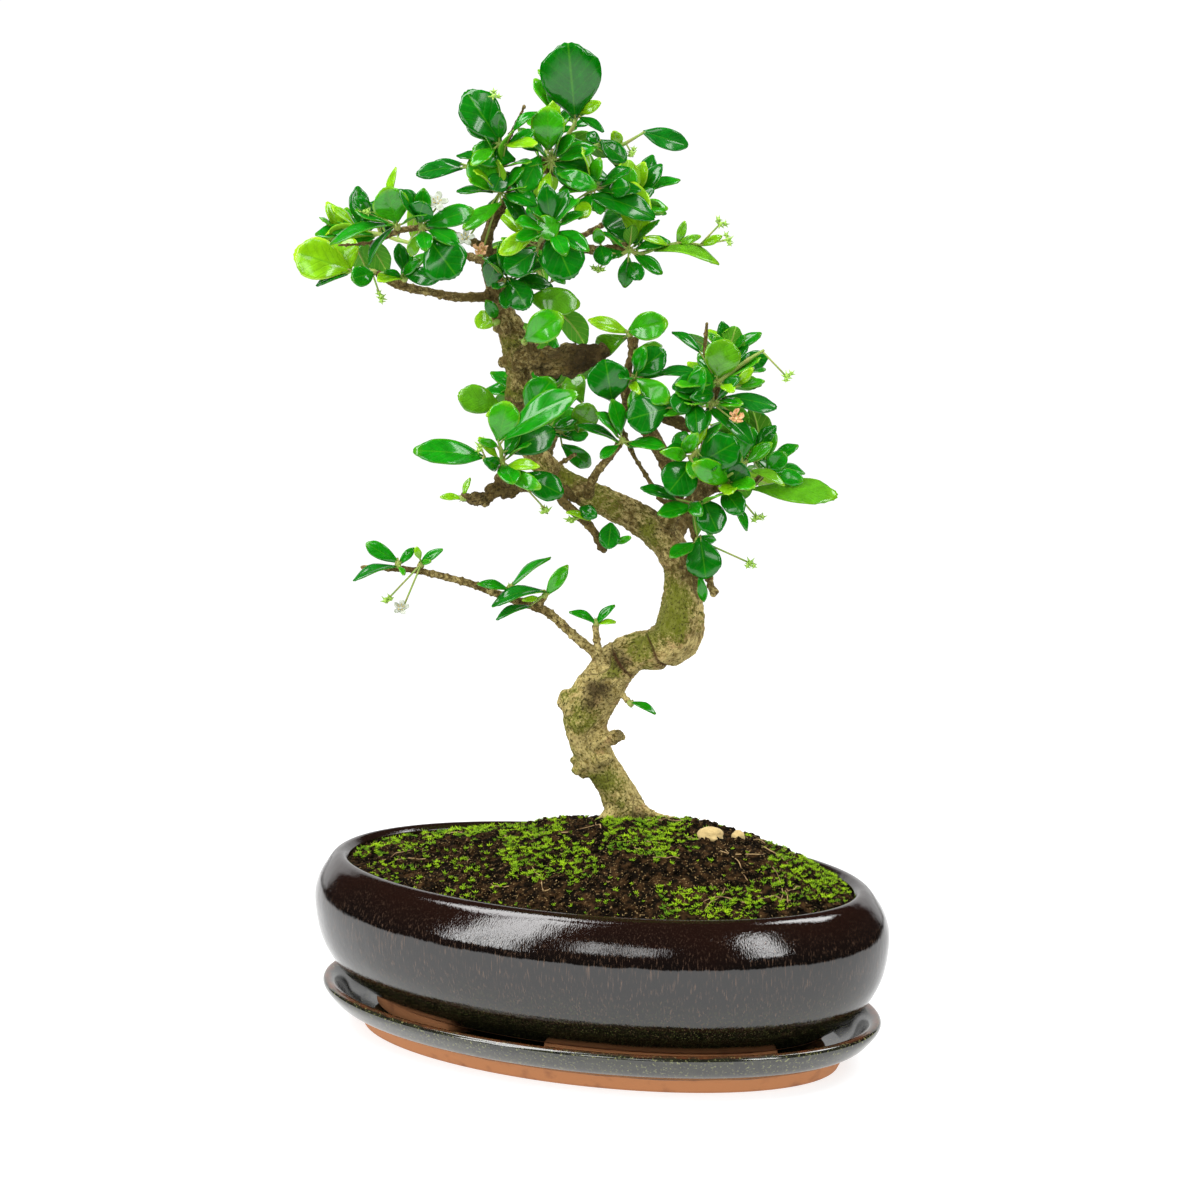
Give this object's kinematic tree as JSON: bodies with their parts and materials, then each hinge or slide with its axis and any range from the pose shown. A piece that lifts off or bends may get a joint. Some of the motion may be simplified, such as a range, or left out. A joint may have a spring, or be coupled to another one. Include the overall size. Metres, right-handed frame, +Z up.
{
  "type": "fukien tea bonsai",
  "caption": "Small-leaved bonsai tree with a curved trunk, sparse glossy foliage and white flowers, growing in a dark glazed oval pot on a matching saucer.",
  "frame": {"origin": "centre of the saucer's flat underside, on the surface it stands on", "axes": "+X along the pot's long axis, +Z up the tree; the pictured side looks towards -Y, turned 25 degrees"},
  "size_m": [0.2668, 0.2001, 0.4236],
  "materials": {
    "saucer_glaze": "gloss dark bronze-green glaze over an unglazed terracotta foot",
    "pot_glaze": "gloss near-black brown glaze, unglazed feet",
    "soil": "moist potting soil with crumbs and moss",
    "pebble": "matt water-worn pebble",
    "drain_mesh": "matt moulded mesh",
    "bark": "rough living bark, tan with darker flecks",
    "leaf": "glossy living leaf with fine bristles",
    "petal": "matt living petal",
    "wilted_petal": "dry wilted petal"
  },
  "bodies": {
    "root": {"back_centre_shoot": "leaf", "back_crown_shoot": "leaf", "back_high_shoot": "leaf", "back_left_shoot": "leaf", "back_middle_shoot": "leaf", "back_right_low_shoot": "leaf", "back_right_shoot": "leaf", "bloom_high_left": "petal", "bloom_low": "petal", "bloom_mid_left": "petal", "bloom_wilted_left": "wilted_petal", "bloom_wilted_right": "wilted_petal", "centre_spur_shoot": "leaf", "crown_back_left_shoot": "leaf", "crown_front_shoot": "leaf", "crown_left_front_shoot": "leaf", "crown_left_shoot": "leaf", "crown_low_right_shoot": "leaf", "crown_middle_shoot": "leaf", "crown_right_shoot": "leaf", "crown_tip_shoot": "leaf", "drain_mesh": "drain_mesh", "hanging_shoot": "leaf", "knobbly_shoot": "leaf", "left_end_shoot": "leaf", "left_front_shoot": "leaf", "left_middle_shoot": "leaf", "left_spur_shoot": "leaf", "low_inner_shoot": "leaf", "low_middle_shoot": "leaf", "low_stub_shoot": "leaf", "low_tip_inner_shoot": "leaf", "low_tip_shoot": "leaf", "lower_mid_shoot": "leaf", "lower_mid_tip_shoot": "leaf", "middle_behind_shoot": "leaf", "pot": "pot_glaze", "right_end_shoot": "leaf", "right_front_shoot": "leaf", "right_glossy_shoot": "leaf", "right_heart_shoot": "leaf", "right_low_shoot": "leaf", "right_node_low_shoot": "leaf", "right_node_shoot": "leaf", "right_top_shoot": "leaf", "rising_side_shoot": "leaf", "rising_tip_shoot": "leaf", "rosette_shoot": "leaf", "round_leaf_shoot": "leaf", "saucer": "saucer_glaze", "slant_twig_shoot": "leaf", "soil": "soil", "spur_end_shoot": "leaf", "stone_large": "pebble", "stone_small": "pebble", "trunk_base_leaf": "leaf", "trunk_front_shoot": "leaf", "trunk_left_high_shoot": "leaf", "trunk_left_shoot": "leaf", "wood": "bark"}
  },
  "joints": []
}
